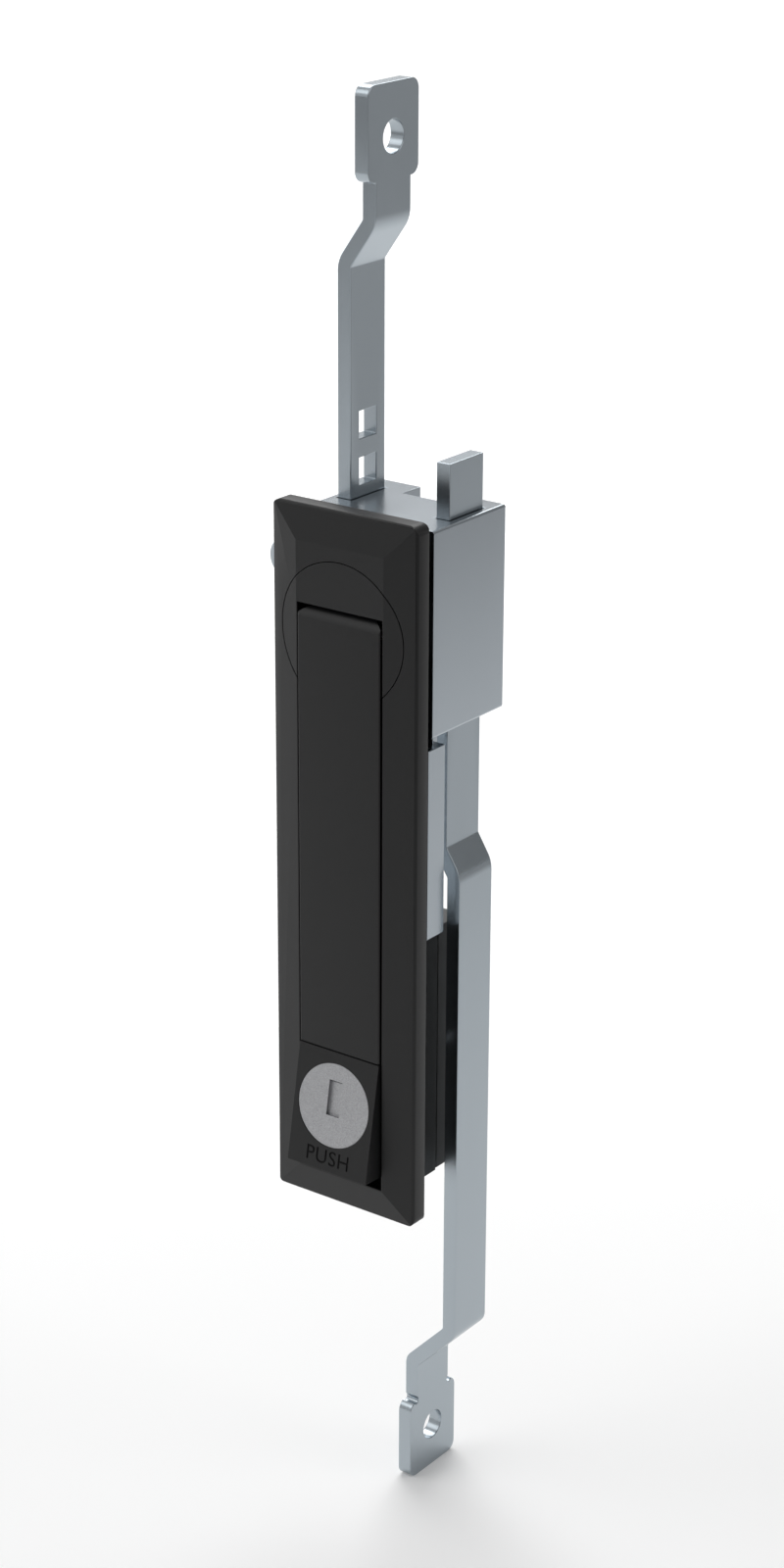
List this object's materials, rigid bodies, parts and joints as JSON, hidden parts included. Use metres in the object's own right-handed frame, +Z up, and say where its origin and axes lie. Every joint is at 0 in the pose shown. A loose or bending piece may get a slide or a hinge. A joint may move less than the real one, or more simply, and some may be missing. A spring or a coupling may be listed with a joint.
{
  "type": "multi-point rod control lock",
  "caption": "Flush swing-handle lock with push button and key: a geared turret moves an upper and a lower flat rod and a cam that bolt a cabinet door.",
  "frame": {"origin": "middle of the faceplate, on the rear face that seats on the door's outside", "axes": "+X right and +Z up as seen from outside the cabinet, +Y into the cabinet along the spindle"},
  "size_m": [0.078, 0.0572, 0.3737],
  "materials": {
    "black_coat": "satin black powder coat on die-cast zinc",
    "black_rubber": "matt foamed rubber",
    "black_plastic": "fine-grained moulded plastic",
    "zinc_sheet": "smooth zinc plating on sheet steel",
    "zinc_bar": "smooth zinc plating on flat steel bar",
    "zinc_fastener": "bright zinc plating",
    "turned_steel": "turned and milled steel",
    "spring_steel": "drawn spring wire and strip",
    "bronze": "sintered bronze",
    "satin_nickel": "bead-blasted nickel"
  },
  "bodies": {
    "root": {"faceplate_casting": "black_coat", "panel_gasket": "black_rubber", "mount_plate": "zinc_sheet", "gear_case": "zinc_sheet", "case_pillars": "zinc_fastener", "case_screws": "zinc_fastener", "spindle_bush": "bronze", "cam_stops": "zinc_fastener", "clamp_bracket": "zinc_sheet", "bracket_screws": "zinc_fastener", "housing_cover": "black_plastic", "cover_screws": "zinc_fastener", "button_pin": "turned_steel", "return_spring": "spring_steel"},
    "turret": {"turret": "black_coat", "turret_clip": "spring_steel", "spindle": "turned_steel", "spindle_screw": "zinc_fastener", "pinion": "turned_steel", "cam": "zinc_sheet", "cam_washer": "zinc_fastener", "cam_screw": "zinc_fastener", "handle_spring": "spring_steel", "handle_pin": "turned_steel"},
    "handle": {"handle": "black_coat"},
    "upper_rod": {"upper_rod": "zinc_bar"},
    "lower_rod": {"lower_rod": "zinc_bar"},
    "button": {"push_button": "black_coat", "catch_lever": "turned_steel", "cylinder_barrel": "satin_nickel", "barrel_clip": "spring_steel"},
    "key_plug": {"key_plug": "satin_nickel", "lock_tongue": "turned_steel", "tongue_screw": "zinc_fastener"}
  },
  "joints": [
    {"name": "turret_turn", "type": "hinge", "parent": "root", "child": "turret", "pos_m": [0, 0, 0.0627], "axis": [0, -1, 0], "range_deg": [0, 90]},
    {"name": "handle_lift", "type": "hinge", "parent": "turret", "child": "handle", "pos_m": [0, -0.0032, 0.0642], "axis": [-1, 0, 0], "range_deg": [0, 60]},
    {"name": "upper_rod_slide", "type": "slide", "parent": "root", "child": "upper_rod", "axis": [0, 0, -1], "range_m": [0, 0.02356]},
    {"name": "lower_rod_slide", "type": "slide", "parent": "root", "child": "lower_rod", "axis": [0, 0, 1], "range_m": [0, 0.02356]},
    {"name": "button_push", "type": "hinge", "parent": "root", "child": "button", "pos_m": [0, 0.008, -0.0515], "axis": [1, 0, 0], "range_deg": [0, 7], "stiffness_Nm_per_rad": 0.25, "springref_deg": -5.73, "deforming": ["return_spring"]},
    {"name": "key_turn", "type": "hinge", "parent": "button", "child": "key_plug", "pos_m": [0, -0.01007, -0.0629], "axis": [0, 0.9845, -0.1753], "range_deg": [0, 90]}
  ],
  "couplings": [
    {"joint": "turret_turn", "follows": "lower_rod_slide", "rad_per_m": 66.667},
    {"joint": "upper_rod_slide", "follows": "lower_rod_slide", "ratio": 1},
    {"joint": "handle_lift", "follows": "lower_rod_slide", "rad_per_m": 44.444}
  ]
}
